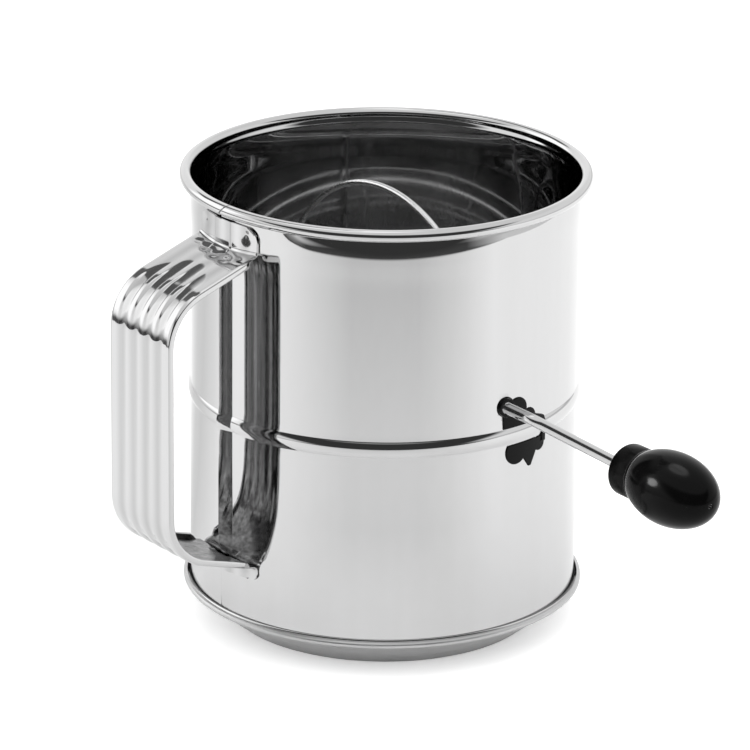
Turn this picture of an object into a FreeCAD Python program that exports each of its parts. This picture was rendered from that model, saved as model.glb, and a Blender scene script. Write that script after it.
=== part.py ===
"""Hand-cranked flour sifter: a round steel can with a domed screen, a wire agitator turned by a side crank,
and a ribbed strap handle.

Millimetres. The origin is on the can's axis in the plane it stands on. +Z is up, +X points out along
the crank shaft, and the handle is on the -Y side.
"""
import FreeCAD, Part
import math
import os
from FreeCAD import Vector

# Can
CAN_RADIUS = 80.0          # outside of the wall
SHEET = 0.5                # wall thickness
SEAM_Z = 14.7              # rolled seam between the can and its base ring
BEAD_Z = 98.3              # stiffening bead round the middle, which also holds the screen ring
BEAD_HEIGHT = 6.8
BEAD_PROUD = 1.0
RIM_Z = 189.35             # centre of the curled rim
CURL_RADIUS = 2.5          # outside of the curl
CURL_END = -135.0          # angle at which the curl's free edge stops, short of the wall
RIM_WIRE_RADIUS = 1.6
LOCK_SEAM_WIDTH = 4.6      # vertical folded seam behind the handle
LOCK_SEAM_PROUD = 0.45
RIM_JOINT = 0.4            # gap where the two ends of the curl meet

# Base ring
SEAM_ROLL_RADIUS = 1.4
SEAM_ROLL_CENTRE = CAN_RADIUS + 1.5
SEAM_FILLET = 1.5          # inside radius where the wall turns out into its flange
FOOT_RADIUS = 64.15        # outside of the edge that the sifter stands on
FOOT_WIDTH = 1.7
BASE_SHEET = 0.5

# Crank shaft
SHAFT_Z = 111.7
ROD_RADIUS = 2.38
ROD_BEND = 6.0
SHAFT_FAR_END = -88.0
ARM_START = 98.0           # where the shaft turns into the slanting arm
ARM_OUT = 20.0             # the arm's run along the shaft
ARM_SIDE = 30.1            # and across it
ARM_DROP = 20.0            # and down
ROD_TIP = 162.8
RUNNING_CLEARANCE = 0.06

# Agitator
HOOP_RADIUS = 71.0
HOOP_WIRE_RADIUS = 1.25
HUB_RADIUS = 4.2
HUB_LENGTH = 7.0
HOOP_END = 3.0             # how near the hoop's ends come to the shaft's axis
SNUG = 0.02

# Screen
SCREEN_RADIUS = 75.0
SCREEN_THICKNESS = 0.5
SCREEN_RIM_Z = 98.8

# Bushings in the wall
WALL_HOLE_RADIUS = 3.45
SPIGOT_RADIUS = 3.35
SPIGOT_REACH = 2.9         # how far the spigot passes inside the wall's outside
BOSS_RADIUS = 3.9
CRANK_BOSS_LENGTH = 2.4
FAR_BOSS_LENGTH = 4.0
FLANGE_GAP = 0.1
FLANGE_THICKNESS = 1.0
FLANGE_WEB_THICKNESS = 1.9
FAR_FLANGE_RADIUS = 7.0
LOCK_RING_RADIUS = 6.0
LOCK_RING_INNER_FACE = 77.5
LOCK_RING_OUTER_FACE = 79.15
END_CAP_RADIUS = 4.2
END_CAP_GAP = 0.4
END_CAP_LENGTH = 5.4

# Grip on the crank
COLLAR_FACE = 122.4
COLLAR_LENGTH = 11.7
COLLAR_RADIUS = 10.8
COLLAR_EDGE = 1.0
COLLAR_LIP_RADIUS = 11.2
COLLAR_LIP_LENGTH = 1.5
KNOB_CENTRE = 150.1
KNOB_HALF_LENGTH = 23.8
KNOB_RADIUS = 15.1
KNOB_BORE_END = 164.3
KNOB_VENT_RADIUS = 0.9
RETAINER_POCKET_RADIUS = 5.2
RETAINER_POCKET_DEPTH = 3.0
RETAINER_RADIUS = 4.2
RETAINER_THICKNESS = 1.0

# Handle
HANDLE_WIDTH = 41.0
GRIP_RADIUS = 122.7        # rib crests on the upright stretch, from the can's axis
HANDLE_BEND = 24.0
UPPER_ROOT_Z = 174.0       # rib-crest height of each arm where it meets the wall
UPPER_SLOPE = 19.4
LOWER_ROOT_Z = 40.1
LOWER_SLOPE = 16.2
HANDLE_SHEET = 0.8
RIB_COUNT = 5
RIB_PITCH = 8.5
RIB_WIDTH = 5.0
RIB_HEIGHT = 0.8
RIB_UPPER_START = 92.0
RIB_LOWER_START = 101.0
HEM_WIDTH = 1.6
HEM_DEPTH = 2.6
TAB_WIDTH = 39.0
TAB_GAP = 0.6              # clears the folded seam under the tabs
UPPER_TAB_TIP_Z = 184.7
UPPER_TAB_CORNER = 6.0
LOWER_TAB_TIP_Z = 34.3
LOWER_TAB_CORNER = 3.0

Z_AXIS = Vector(0, 0, 1)
X_AXIS = Vector(1, 0, 0)
SHAFT_CENTRE = Vector(0, 0, SHAFT_Z)
GRIP_CENTRE = Vector(0, ARM_SIDE, SHAFT_Z - ARM_DROP)


# ---------------------------------------------------------------- sections and simple solids

def on_circle(centre, radius, degrees):
    """A point of a circle in the section plane, as (r, z)."""
    angle = math.radians(degrees)
    return centre[0] + radius * math.cos(angle), centre[1] + radius * math.sin(angle)


def section_line(start, end):
    return Part.makeLine(Vector(start[0], 0, start[1]), Vector(end[0], 0, end[1]))


def section_arc(start, middle, end):
    points = [Vector(r, 0, z) for r, z in (start, middle, end)]
    return Part.Arc(*points).toShape()


def revolved(edges):
    """The solid that a closed section makes when it turns about the can's axis."""
    return Part.Face(Part.Wire(edges)).revolve(Vector(), Z_AXIS, 360)


def tube(inner, outer, low, high):
    """A plain ring about the can's axis."""
    solid = Part.makeCylinder(outer, high - low, Vector(0, 0, low))
    return solid.cut(Part.makeCylinder(inner, high - low, Vector(0, 0, low)))


def rod_along_x(radius, start, end, centre=SHAFT_CENTRE):
    """A round bar parallel to the shaft, about the line through centre."""
    low = min(start, end)
    return Part.makeCylinder(radius, abs(end - start), centre + Vector(low, 0, 0), X_AXIS)


def sleeve_along_x(bore, radius, start, end, centre=SHAFT_CENTRE):
    return rod_along_x(radius, start, end, centre).cut(rod_along_x(bore, start, end, centre))


def polygon_along_x(points, start, end):
    """A prism along X whose section is given as (y, z) points."""
    corners = [Vector(start, y, z) for y, z in points]
    face = Part.Face(Part.makePolygon(corners + corners[:1]))
    return face.extrude(Vector(end - start, 0, 0))


# ---------------------------------------------------------------- can

def wall_section():
    """The can's sheet from its seam flange up the wall, over the bead and round the curl."""
    inside = CAN_RADIUS - SHEET
    half_bead = BEAD_HEIGHT / 2
    inner_half_bead = half_bead - 0.3
    corner = (SEAM_ROLL_CENTRE, SEAM_Z + SHEET / 2 + SEAM_FILLET)
    flange_tip = SEAM_ROLL_CENTRE + 0.7
    flange_top = SEAM_Z + SHEET / 2
    flange_bottom = SEAM_Z - SHEET / 2
    curl = (inside + CURL_RADIUS, RIM_Z)
    curl_inside = CURL_RADIUS - SHEET
    curl_middle = (180 + CURL_END) / 2
    return [
        section_line((flange_tip, flange_bottom), (flange_tip, flange_top)),
        section_line((flange_tip, flange_top), on_circle(corner, SEAM_FILLET, -90)),
        section_arc(*[on_circle(corner, SEAM_FILLET, a) for a in (-90, -135, -180)]),
        section_line((CAN_RADIUS, corner[1]), (CAN_RADIUS, BEAD_Z - half_bead)),
        section_arc((CAN_RADIUS, BEAD_Z - half_bead), (CAN_RADIUS + BEAD_PROUD, BEAD_Z),
                    (CAN_RADIUS, BEAD_Z + half_bead)),
        section_line((CAN_RADIUS, BEAD_Z + half_bead), (CAN_RADIUS, RIM_Z)),
        section_arc(*[on_circle(curl, curl_inside, a) for a in (180, curl_middle, CURL_END)]),
        section_line(on_circle(curl, curl_inside, CURL_END), on_circle(curl, CURL_RADIUS, CURL_END)),
        section_arc(*[on_circle(curl, CURL_RADIUS, a) for a in (CURL_END, curl_middle, 180)]),
        section_line((inside, RIM_Z), (inside, BEAD_Z + inner_half_bead)),
        section_arc((inside, BEAD_Z + inner_half_bead), (inside + BEAD_PROUD, BEAD_Z),
                    (inside, BEAD_Z - inner_half_bead)),
        section_line((inside, BEAD_Z - inner_half_bead), (inside, corner[1])),
        section_arc(*[on_circle(corner, SEAM_FILLET + SHEET, a) for a in (-180, -135, -90)]),
        section_line((SEAM_ROLL_CENTRE, flange_bottom), (flange_tip, flange_bottom)),
    ]


def body_shell():
    """The can with its lock seam, the joint in its rim and the two shaft holes."""
    can = revolved(wall_section())
    bead_edge = BEAD_HEIGHT / 2 - 0.5
    spans = [(SEAM_Z + 3, BEAD_Z - bead_edge), (BEAD_Z + bead_edge, RIM_Z - CURL_RADIUS)]
    for low, high in spans:
        strip = tube(CAN_RADIUS - 0.1, CAN_RADIUS + LOCK_SEAM_PROUD, low, high)
        slot = Part.makeBox(LOCK_SEAM_WIDTH, 2 * CAN_RADIUS, high - low,
                            Vector(-LOCK_SEAM_WIDTH, -2 * CAN_RADIUS, low))
        can = can.fuse(strip.common(slot))
    can = can.removeSplitter()
    rim_box = 2 * CURL_RADIUS + 1
    joint = Part.makeBox(RIM_JOINT, rim_box, rim_box,
                         Vector(-LOCK_SEAM_WIDTH, -CAN_RADIUS - rim_box, RIM_Z - CURL_RADIUS - 0.5))
    can = can.cut(joint)
    holes = rod_along_x(WALL_HOLE_RADIUS, -2 * CAN_RADIUS, 2 * CAN_RADIUS)
    return can.cut(holes)


def rim_wire():
    """The stiffening wire inside the curled rim."""
    return Part.makeTorus(CAN_RADIUS - SHEET + CURL_RADIUS, RIM_WIRE_RADIUS, Vector(0, 0, RIM_Z))


def base_ring():
    """The tapering outlet ring that the sifter stands on, rolled round the can's flange."""
    roll = (SEAM_ROLL_CENTRE, SEAM_Z)
    roll_inside = SEAM_ROLL_RADIUS - BASE_SHEET
    lip = 95
    floor_low = SEAM_Z - SEAM_ROLL_RADIUS
    shoulder = CAN_RADIUS + 0.6
    foot_inner = FOOT_RADIUS - FOOT_WIDTH
    return revolved([
        section_line((foot_inner, 0), (FOOT_RADIUS, 0)),
        section_line((FOOT_RADIUS, 0), (shoulder, floor_low)),
        section_line((shoulder, floor_low), on_circle(roll, SEAM_ROLL_RADIUS, -90)),
        section_arc(*[on_circle(roll, SEAM_ROLL_RADIUS, a) for a in (-90, 0, lip)]),
        section_line(on_circle(roll, SEAM_ROLL_RADIUS, lip), on_circle(roll, roll_inside, lip)),
        section_arc(*[on_circle(roll, roll_inside, a) for a in (lip, 0, -90)]),
        section_line(on_circle(roll, roll_inside, -90), (shoulder - 0.2, floor_low + BASE_SHEET)),
        section_line((shoulder - 0.2, floor_low + BASE_SHEET), (FOOT_RADIUS - 0.2, BASE_SHEET)),
        section_line((FOOT_RADIUS - 0.2, BASE_SHEET), (foot_inner, BASE_SHEET)),
        section_line((foot_inner, BASE_SHEET), (foot_inner, 0)),
    ])


# ---------------------------------------------------------------- screen

def screen_mesh():
    """The domed screen, as the thin shell that its woven wires fill."""
    centre = (0, SHAFT_Z)
    inner = SCREEN_RADIUS - SCREEN_THICKNESS
    drop = SHAFT_Z - SCREEN_RIM_Z
    outer_rim = -math.degrees(math.asin(drop / SCREEN_RADIUS))
    inner_rim = -math.degrees(math.asin(drop / inner))
    middle = (outer_rim - 90) / 2
    return revolved([
        section_arc(*[on_circle(centre, SCREEN_RADIUS, a) for a in (-90, middle, outer_rim)]),
        section_line(on_circle(centre, SCREEN_RADIUS, outer_rim), on_circle(centre, inner, inner_rim)),
        section_arc(*[on_circle(centre, inner, a) for a in (inner_rim, middle, -90)]),
        section_line(on_circle(centre, inner, -90), on_circle(centre, SCREEN_RADIUS, -90)),
    ])


def screen_ring():
    """The ring that grips the screen's edge and sits in the can at the bead."""
    hem = tube(74.3, 75.3, BEAD_Z - 2.5, BEAD_Z + 1.5)
    web = tube(75.2, 78.7, BEAD_Z - 0.8, BEAD_Z)
    band = tube(78.6, 79.35, BEAD_Z - 3.5, BEAD_Z + 3.5)
    return hem.fuse([web, band]).removeSplitter()


# ---------------------------------------------------------------- crank and agitator

def bent_rod(corners, bend, radius):
    """A round rod along straight runs, with an arc of the same bend radius at each inner corner."""
    edges = []
    last = corners[0]
    for before, corner, after in zip(corners, corners[1:], corners[2:]):
        back = (before - corner).normalize()
        ahead = (after - corner).normalize()
        half_angle = back.getAngle(ahead) / 2
        reach = bend / math.tan(half_angle)
        inward = (back + ahead).normalize()
        start = corner + back * reach
        end = corner + ahead * reach
        middle = corner + inward * (bend / math.sin(half_angle) - bend)
        edges.append(Part.makeLine(last, start))
        edges.append(Part.Arc(start, middle, end).toShape())
        last = end
    edges.append(Part.makeLine(last, corners[-1]))
    profile = Part.Wire(Part.makeCircle(radius, corners[0], corners[1] - corners[0]))
    return Part.Wire(edges).makePipeShell([profile], True, True)


def crank_rod():
    """One rod: the shaft across the can, the slanting arm outside it and the spindle for the grip."""
    arm_start = SHAFT_CENTRE + Vector(ARM_START, 0, 0)
    arm_end = arm_start + Vector(ARM_OUT, ARM_SIDE, -ARM_DROP)
    tip = Vector(ROD_TIP, arm_end.y, arm_end.z)
    far_end = SHAFT_CENTRE + Vector(SHAFT_FAR_END, 0, 0)
    return bent_rod([far_end, arm_start, arm_end, tip], ROD_BEND, ROD_RADIUS)


def agitator_wire(turn):
    """A half hoop from hub to hub, turned about the shaft from upright."""
    margin = math.degrees(math.asin(HOOP_END / HOOP_RADIUS))
    around = Vector(0, -1, 0)
    circle = Part.makeCircle(HOOP_WIRE_RADIUS, SHAFT_CENTRE + Vector(HOOP_RADIUS, 0, 0), Z_AXIS)
    disc = Part.Face(Part.Wire(circle))
    disc.rotate(SHAFT_CENTRE, around, margin)
    wire = disc.revolve(SHAFT_CENTRE, around, 180 - 2 * margin)
    wire.rotate(SHAFT_CENTRE, X_AXIS, turn)
    return wire


def hub(side, wires):
    """A collar pressed on the shaft, with a hole for each hoop's end."""
    middle = side * HOOP_RADIUS
    collar = sleeve_along_x(ROD_RADIUS + SNUG, HUB_RADIUS, middle - HUB_LENGTH / 2, middle + HUB_LENGTH / 2)
    return collar.cut(wires)


def rod_end_cap():
    """The domed push-on nut that keeps the shaft from sliding back through the far wall."""
    start = -(CAN_RADIUS + FAR_BOSS_LENGTH + END_CAP_GAP)
    cap = rod_along_x(END_CAP_RADIUS, start, start - END_CAP_LENGTH)
    outer_edges = [e for e in cap.Edges if abs(e.BoundBox.Center.x - (start - END_CAP_LENGTH)) < 0.01]
    cap = cap.makeFillet(END_CAP_RADIUS * 0.55, outer_edges)
    return cap.cut(rod_along_x(ROD_RADIUS + SNUG, start + 1, SHAFT_FAR_END))


# ---------------------------------------------------------------- bushings

def bead_clearance():
    """The room that a part on the wall leaves over the bead."""
    half = BEAD_HEIGHT / 2 + 0.3
    inside = CAN_RADIUS - 1
    edge = CAN_RADIUS - 0.05
    return revolved([
        section_line((inside, BEAD_Z - half), (edge, BEAD_Z - half)),
        section_arc((edge, BEAD_Z - half), (CAN_RADIUS + BEAD_PROUD + 0.15, BEAD_Z), (edge, BEAD_Z + half)),
        section_line((edge, BEAD_Z + half), (inside, BEAD_Z + half)),
        section_line((inside, BEAD_Z + half), (inside, BEAD_Z - half)),
    ])


def wall_skin(thickness):
    """A layer that lies over the wall, for the bushings' flanges."""
    return tube(CAN_RADIUS + FLANGE_GAP, CAN_RADIUS + FLANGE_GAP + thickness, 70, 130)


def crank_flange():
    """The lobed plate under the crank: three lobes and the boss above the bead, two lobes and a point
    below it, and one narrow web that joins them across the bead."""
    near = CAN_RADIUS - 8
    far = CAN_RADIUS + 5
    lobes = [(0.3, SHAFT_Z, 4.3), (6.5, 109.3, 5.2), (13.2, 104.9, 3.6), (19.6, 91.6, 3.2), (6.3, 91.4, 5.6)]
    discs = [rod_along_x(r, near, far, Vector(0, y, z)) for y, z, r in lobes]
    plate = polygon_along_x([(-1.3, 110.0), (-0.8, 101.2), (15.0, 101.2),
                             (16.5, 103.0), (9.0, 109.0)], near, far)
    pointed = polygon_along_x([(8.5, 96.0), (17.6, 96.0), (17.4, 88.5),
                               (14.6, 83.3), (13.2, 83.3), (10.2, 87.5)], near, far)
    web = polygon_along_x([(14.5, 106.0), (21.6, 103.4), (22.6, 101.0), (22.6, 92.2),
                           (20.4, 92.2), (20.4, 101.2), (14.5, 102.6)], near, far)
    half_gap = BEAD_HEIGHT / 2 + 0.3
    bead_gap = tube(CAN_RADIUS - 10, CAN_RADIUS + 10, BEAD_Z - half_gap, BEAD_Z + half_gap)
    lobed = plate.fuse(discs + [pointed]).common(wall_skin(FLANGE_THICKNESS)).cut(bead_gap)
    return lobed.fuse(web.common(wall_skin(FLANGE_WEB_THICKNESS))).cut(bead_clearance())


def bushing(flange, side, boss_length):
    """A moulded bushing: flange outside the wall, boss round the shaft and a spigot through the wall."""
    boss_start = CAN_RADIUS + FLANGE_GAP + 0.3
    boss = rod_along_x(BOSS_RADIUS, side * boss_start, side * (CAN_RADIUS + boss_length))
    spigot = rod_along_x(SPIGOT_RADIUS, side * (CAN_RADIUS - SPIGOT_REACH), side * (CAN_RADIUS + 1))
    solid = flange.fuse([boss, spigot]).removeSplitter()
    bore = rod_along_x(ROD_RADIUS + RUNNING_CLEARANCE, side * (CAN_RADIUS - 10), side * (CAN_RADIUS + 10))
    return solid.cut(bore)


def far_flange():
    near = -(CAN_RADIUS - 8)
    far = -(CAN_RADIUS + 5)
    disc = rod_along_x(FAR_FLANGE_RADIUS, near, far)
    return disc.common(wall_skin(FLANGE_THICKNESS))


def lock_ring(side):
    """The push-on ring inside the wall that holds a bushing by its spigot."""
    return sleeve_along_x(SPIGOT_RADIUS + SNUG, LOCK_RING_RADIUS, side * LOCK_RING_INNER_FACE,
                          side * LOCK_RING_OUTER_FACE)


# ---------------------------------------------------------------- grip

def grip_collar():
    """The neck that closes the knob and turns with it on the spindle; it ends in a slightly wider lip."""
    end = COLLAR_FACE + COLLAR_LENGTH
    collar = rod_along_x(COLLAR_RADIUS, COLLAR_FACE, end, GRIP_CENTRE)
    face_edge = [e for e in collar.Edges if abs(e.BoundBox.Center.x - COLLAR_FACE) < 0.01]
    collar = collar.makeFillet(COLLAR_EDGE, face_edge)
    collar = collar.fuse(rod_along_x(COLLAR_LIP_RADIUS, end - COLLAR_LIP_LENGTH, end, GRIP_CENTRE))
    return collar.cut(rod_along_x(ROD_RADIUS + RUNNING_CLEARANCE, COLLAR_FACE - 1, end + 1, GRIP_CENTRE))


def grip_knob():
    """The egg-shaped knob, cut off square where the neck meets it."""
    start = COLLAR_FACE + COLLAR_LENGTH
    tip = KNOB_CENTRE + KNOB_HALF_LENGTH
    cut_angle = math.acos((start - KNOB_CENTRE) / KNOB_HALF_LENGTH)
    ellipse = Part.Ellipse(Vector(KNOB_CENTRE, 0, 0), KNOB_HALF_LENGTH, KNOB_RADIUS)
    outline = Part.ArcOfEllipse(ellipse, 0, cut_angle).toShape()
    shoulder = Vector(start, KNOB_RADIUS * math.sin(cut_angle), 0)
    foot = Vector(start, 0, 0)
    axis_line = Part.makeLine(foot, Vector(tip, 0, 0))
    knob = Part.Face(Part.Wire([outline, Part.makeLine(shoulder, foot), axis_line]))
    knob = knob.revolve(Vector(), X_AXIS, 360)
    knob.translate(GRIP_CENTRE)
    bore = rod_along_x(ROD_RADIUS + RUNNING_CLEARANCE, start - 1, KNOB_BORE_END, GRIP_CENTRE)
    pocket = rod_along_x(RETAINER_POCKET_RADIUS, start - 1, start + RETAINER_POCKET_DEPTH, GRIP_CENTRE)
    vent = rod_along_x(KNOB_VENT_RADIUS, KNOB_BORE_END - 1, tip + 1, GRIP_CENTRE)
    return knob.cut([bore, pocket, vent])


def grip_retaining_ring():
    """The spring ring on the spindle, in the knob's pocket, that keeps the knob on."""
    start = COLLAR_FACE + COLLAR_LENGTH + (RETAINER_POCKET_DEPTH - RETAINER_THICKNESS) / 2
    return sleeve_along_x(ROD_RADIUS + SNUG, RETAINER_RADIUS, start, start + RETAINER_THICKNESS, GRIP_CENTRE)


# ---------------------------------------------------------------- handle

def handle_edges(inset):
    """The handle's side outline, from the upper wall end round the grip to the lower wall end, as edges and
    their two ends. inset is the distance inward from the rib crests."""
    upper = math.radians(UPPER_SLOPE)
    lower = math.radians(LOWER_SLOPE)
    root = CAN_RADIUS - 6
    span = GRIP_RADIUS - CAN_RADIUS
    upper_corner_z = UPPER_ROOT_Z - span * math.tan(upper)
    lower_corner_z = LOWER_ROOT_Z + span * math.tan(lower)
    upper_turn = math.pi / 2 - upper
    lower_turn = math.pi / 2 - lower
    centre_r = GRIP_RADIUS - HANDLE_BEND
    upper_centre = (centre_r, upper_corner_z - HANDLE_BEND * math.tan(upper_turn / 2))
    lower_centre = (centre_r, lower_corner_z + HANDLE_BEND * math.tan(lower_turn / 2))
    radius = HANDLE_BEND - inset
    upper_bend = [on_circle(upper_centre, radius, math.degrees(a)) for a in (upper_turn, upper_turn / 2, 0)]
    lower_bend = [on_circle(lower_centre, radius, -math.degrees(a)) for a in (0, lower_turn / 2, lower_turn)]
    upper_end = (root, upper_bend[0][1] + (upper_bend[0][0] - root) * math.tan(upper))
    lower_end = (root, lower_bend[2][1] - (lower_bend[2][0] - root) * math.tan(lower))
    edges = [section_line(upper_end, upper_bend[0]), section_arc(*upper_bend),
             section_line(upper_bend[2], lower_bend[0]), section_arc(*lower_bend),
             section_line(lower_bend[2], lower_end)]
    return edges, upper_end, lower_end


def handle_layer(outer_inset, inner_inset, low_x, high_x):
    """A strip of the handle between two depths and two widths, as a solid on the -Y side."""
    outer, outer_top, outer_bottom = handle_edges(outer_inset)
    inner, inner_top, inner_bottom = handle_edges(inner_inset)
    closing = [section_line(outer_top, inner_top), section_line(outer_bottom, inner_bottom)]
    wire = Part.Wire(Part.__sortEdges__(outer + inner + closing))
    layer = Part.Face(wire).extrude(Vector(0, high_x - low_x, 0))
    layer.rotate(Vector(), Z_AXIS, -90)
    layer.translate(Vector(low_x, 0, 0))
    return layer


def handle_ribs():
    """The ribs pressed along the grip, which stop part-way up each arm."""
    middle_z = (UPPER_ROOT_Z + LOWER_ROOT_Z) / 2
    reach = 2 * GRIP_RADIUS
    upper_room = Part.makeBox(HANDLE_WIDTH, reach, reach,
                              Vector(-HANDLE_WIDTH / 2, -RIB_UPPER_START - reach, middle_z))
    lower_room = Part.makeBox(HANDLE_WIDTH, reach, reach,
                              Vector(-HANDLE_WIDTH / 2, -RIB_LOWER_START - reach, middle_z - reach))
    room = upper_room.fuse(lower_room)
    ribs = []
    for index in range(RIB_COUNT):
        middle = (index - (RIB_COUNT - 1) / 2) * RIB_PITCH
        rib = handle_layer(0, RIB_HEIGHT + 0.2, middle - RIB_WIDTH / 2, middle + RIB_WIDTH / 2)
        ribs.append(rib.common(room))
    return ribs


def handle_tab(root_z, tip_z, corner):
    """A curved tab that lies against the wall, with its two free corners cut off."""
    half = TAB_WIDTH / 2
    slant = math.copysign(corner, tip_z - root_z)
    outline = [(-half, root_z), (half, root_z), (half, tip_z - slant), (half - corner, tip_z),
               (corner - half, tip_z), (-half, tip_z - slant)]
    prism = Part.Face(Part.makePolygon([Vector(x, 0, z) for x, z in outline + outline[:1]]))
    prism = prism.extrude(Vector(0, -2 * CAN_RADIUS, 0))
    inner = CAN_RADIUS + TAB_GAP
    return tube(inner, inner + HANDLE_SHEET, min(root_z, tip_z), max(root_z, tip_z)).common(prism)


def handle_strap():
    """The strap handle: a sheet with hemmed edges and pressed ribs, ending in two welded tabs."""
    half = HANDLE_WIDTH / 2
    sheet = handle_layer(RIB_HEIGHT, RIB_HEIGHT + HANDLE_SHEET, -half, half)
    hems = [handle_layer(RIB_HEIGHT, RIB_HEIGHT + HEM_DEPTH, low, low + HEM_WIDTH)
            for low in (-half, half - HEM_WIDTH)]
    strap = sheet.fuse(hems + handle_ribs())
    inner = CAN_RADIUS + TAB_GAP
    strap = strap.cut(Part.makeCylinder(inner, 2 * CAN_RADIUS + RIM_Z, Vector(0, 0, -CAN_RADIUS)))
    upper = handle_tab(UPPER_ROOT_Z - 2.0, UPPER_TAB_TIP_Z, UPPER_TAB_CORNER)
    lower = handle_tab(LOWER_ROOT_Z + 2.0, LOWER_TAB_TIP_Z, LOWER_TAB_CORNER)
    return strap.fuse([upper, lower]).removeSplitter()


# ---------------------------------------------------------------- assembly

def make_parts():
    wires = {name: agitator_wire(turn) for name, turn in
             (("top", 0), ("front", 90), ("bottom", 180), ("back", 270))}
    parts = {
        "body_shell": body_shell(),
        "rim_wire": rim_wire(),
        "base_ring": base_ring(),
        "screen_mesh": screen_mesh(),
        "screen_ring": screen_ring(),
        "handle_strap": handle_strap(),
        "crank_bushing": bushing(crank_flange(), 1, CRANK_BOSS_LENGTH),
        "far_bushing": bushing(far_flange(), -1, FAR_BOSS_LENGTH),
        "crank_lock_ring": lock_ring(1),
        "far_lock_ring": lock_ring(-1),
        "crank_rod": crank_rod(),
        "rod_end_cap": rod_end_cap(),
        "hub_crank_side": hub(1, list(wires.values())),
        "hub_far_side": hub(-1, list(wires.values())),
        "grip_retaining_ring": grip_retaining_ring(),
        "grip_collar": grip_collar(),
        "grip_knob": grip_knob(),
    }
    for name, wire in wires.items():
        parts["agitator_wire_" + name] = wire
    return parts


os.makedirs("parts", exist_ok=True)
for node, shape in make_parts().items():
    state = "valid" if shape.isValid() else "NOT VALID"
    print(node, len(shape.Solids), "solid", state, round(shape.Volume, 1))
    shape.exportStep("parts/" + node + ".step")
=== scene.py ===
import math

import bmesh
import bpy
import numpy as np
from mathutils import Matrix, Vector


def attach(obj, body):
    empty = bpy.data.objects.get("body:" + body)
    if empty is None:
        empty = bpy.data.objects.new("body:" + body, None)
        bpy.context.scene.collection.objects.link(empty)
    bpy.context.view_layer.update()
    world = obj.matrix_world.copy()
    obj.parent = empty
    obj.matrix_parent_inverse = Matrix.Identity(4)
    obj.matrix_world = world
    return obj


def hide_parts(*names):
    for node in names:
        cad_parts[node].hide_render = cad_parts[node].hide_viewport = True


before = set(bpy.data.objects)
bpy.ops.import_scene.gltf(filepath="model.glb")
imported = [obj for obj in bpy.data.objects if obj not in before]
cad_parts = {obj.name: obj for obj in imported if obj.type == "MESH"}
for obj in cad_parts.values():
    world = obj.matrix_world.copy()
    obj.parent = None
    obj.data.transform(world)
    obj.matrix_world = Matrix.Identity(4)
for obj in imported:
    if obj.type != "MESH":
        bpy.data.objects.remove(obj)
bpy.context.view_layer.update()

MM = 0.001
X_AXIS = np.array((1.0, 0.0, 0.0))
Y_AXIS = np.array((0.0, 1.0, 0.0))
Z_AXIS = np.array((0.0, 0.0, 1.0))

# Can
CAN_RADIUS = 80.0
SHEET = 0.5
SEAM_Z = 14.7
SEAM_ROLL_CENTRE = 81.5
SEAM_ROLL_RADIUS = 1.4
SEAM_FILLET = 1.5
FLANGE_TIP = 82.2
BEAD_Z = 98.3
BEAD_HALF_HEIGHT = 3.4
BEAD_PROUD = 1.0
BEAD_FOOT_RADIUS = 0.8
RIM_Z = 189.35
CURL_RADIUS = 2.5
CURL_END = -135.0
FLARE_LOW = 168.0          # the wall swells a little from here, and then draws in towards the rim
FLARE = 0.3
NECK_LOW = 178.0
NECK_HIGH = 186.0
NECK_DEPTH = 0.9
LOCK_SEAM = (-2.9, 4.3)    # the folded seam's step, and where it has blended into the wall
LOCK_SEAM_PROUD = 2.0
LOCK_SEAM_UNDER_TABS = 0.45
LOCK_SEAM_OPEN = (43.0, 47.0, 165.0, 169.0)    # heights between which the seam stands fully proud
RIM_JOINT = 0.6
RIM_JOINT_PLACE = 2.2
RIM_JOINT_SLANT = 0.9
CUT_REACH = 95.0           # cutters reach past the wall, as far as this from the axis
FOOT_RADIUS = 64.15
FOOT_WIDTH = 1.7
WALL_HOLE_RADIUS = 3.45

# Screen and its ring
SHAFT_Z = 111.7
SCREEN_RADIUS = 75.0
SCREEN_RIM_Z = 98.8
SCREEN_PITCH = 1.6
SCREEN_WIRE_RADIUS = 0.2
RING_BAND = (78.6, 79.35)  # inside and outside radius of the ring's band, next to the wall
RING_HEM = (74.3, 75.3)    # and of its hem, which holds the screen

# Crank and agitator
ROD_RADIUS = 2.38
ROD_BEND = 6.0
SHAFT_FAR_END = -88.0
ARM_START = 98.0
ARM_RUN = np.array((20.0, 30.1, -20.0))
ROD_TIP = 162.8
HOOP_RADIUS = 71.0
HOOP_WIRE_RADIUS = 1.25
HOOP_END = 3.0
SHAFT_CENTRE = np.array((0.0, 0.0, SHAFT_Z))
GRIP_CENTRE = SHAFT_CENTRE + ARM_RUN * (0, 1, 1)

# Grip
COLLAR_FACE = 122.4
COLLAR_LENGTH = 11.7
COLLAR_RADIUS = 10.8
COLLAR_LIP_RADIUS = 11.2
COLLAR_LIP_LENGTH = 1.5
BORE_RADIUS = 2.44
KNOB_CENTRE = 150.1
KNOB_HALF_LENGTH = 23.8
KNOB_RADIUS = 15.1
KNOB_BORE_END = 164.3
KNOB_VENT_RADIUS = 0.9
KNOB_VENT_EDGE = 0.25
POCKET_RADIUS = 5.2
POCKET_DEPTH = 3.0

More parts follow.
